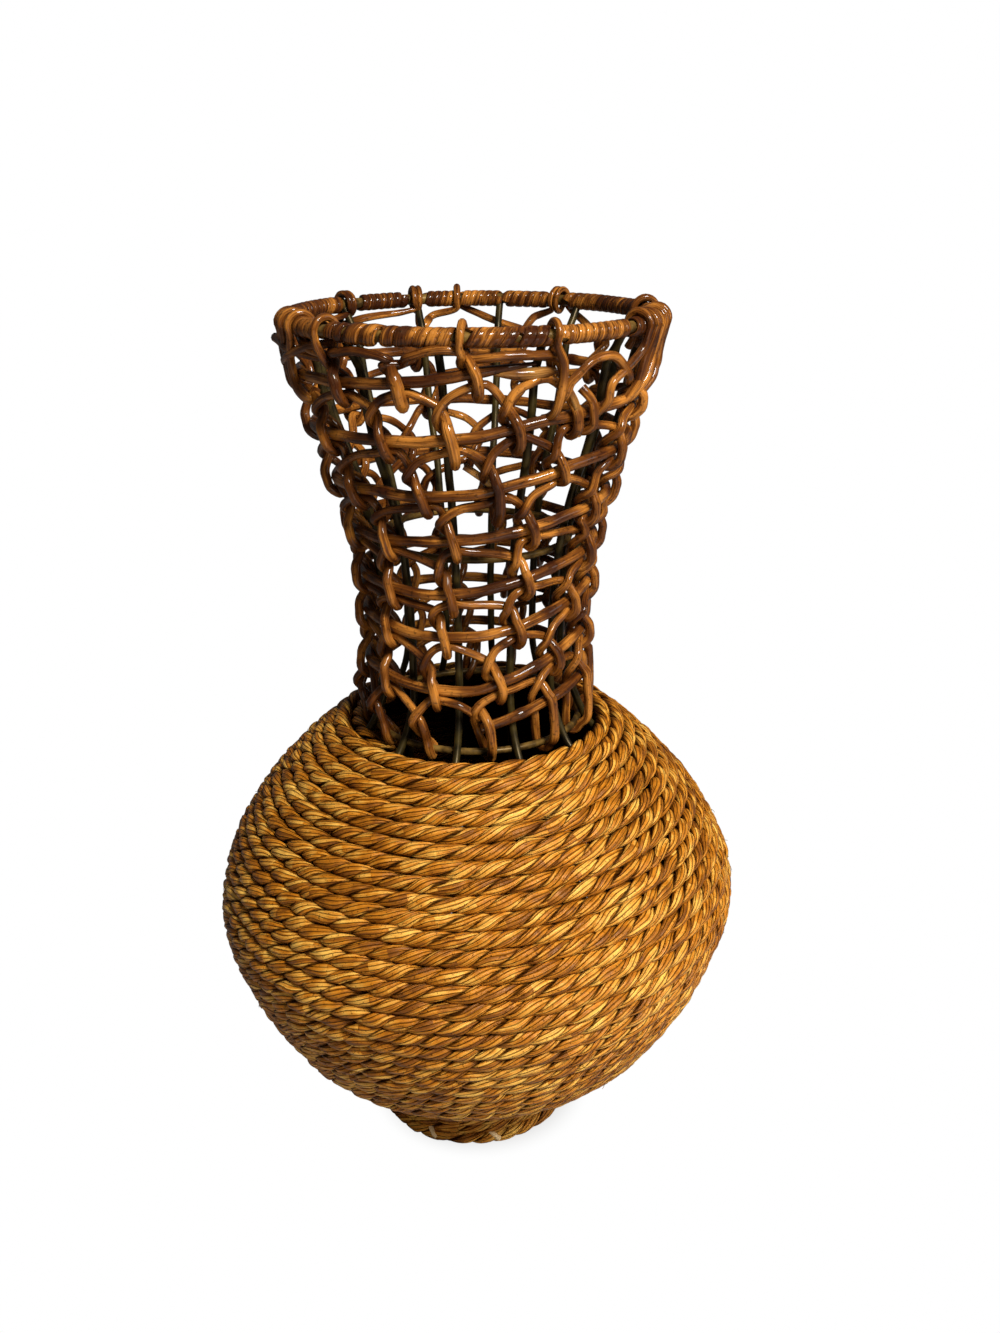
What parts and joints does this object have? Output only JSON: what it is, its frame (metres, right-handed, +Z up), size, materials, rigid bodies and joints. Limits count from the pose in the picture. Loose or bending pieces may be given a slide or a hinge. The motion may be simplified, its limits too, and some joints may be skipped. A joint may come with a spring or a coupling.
{
  "type": "woven vase",
  "caption": "Tall woven vase: a round rope-wound belly on a small foot, and an open looped cane neck that flares to a cane-bound rim, on an iron wire frame.",
  "frame": {"origin": "centre of the base board's underside, on the surface that the vase stands on", "axes": "+Z up through the neck, the pictured side towards -Y, +X to the right as pictured"},
  "size_m": [0.2661, 0.266, 0.4323],
  "materials": {
    "iron": "dark, slightly rusty wire",
    "rope": "two-ply natural fibre rope, dry",
    "core_cane": "varnished rattan",
    "loop_cane": "varnished rattan",
    "binding_cane": "varnished flat cane",
    "plywood": "bare plywood"
  },
  "bodies": {
    "root": {"base_board": "plywood", "upright_01": "iron", "upright_02": "iron", "upright_03": "iron", "upright_04": "iron", "upright_05": "iron", "upright_06": "iron", "upright_07": "iron", "upright_08": "iron", "upright_09": "iron", "upright_10": "iron", "upright_11": "iron", "upright_12": "iron", "base_hoop": "iron", "collar_hoop": "iron", "neck_hoop": "iron", "rim_hoop": "iron", "rim_binding": "binding_cane", "rope_lower": "rope", "rope_upper": "rope", "core_cane": "core_cane", "looper_0": "loop_cane", "looper_1": "loop_cane", "looper_2": "loop_cane", "looper_3": "loop_cane", "looper_4": "loop_cane", "looper_5": "loop_cane", "looper_6": "loop_cane", "looper_7": "loop_cane", "looper_8": "loop_cane"}
  },
  "joints": []
}
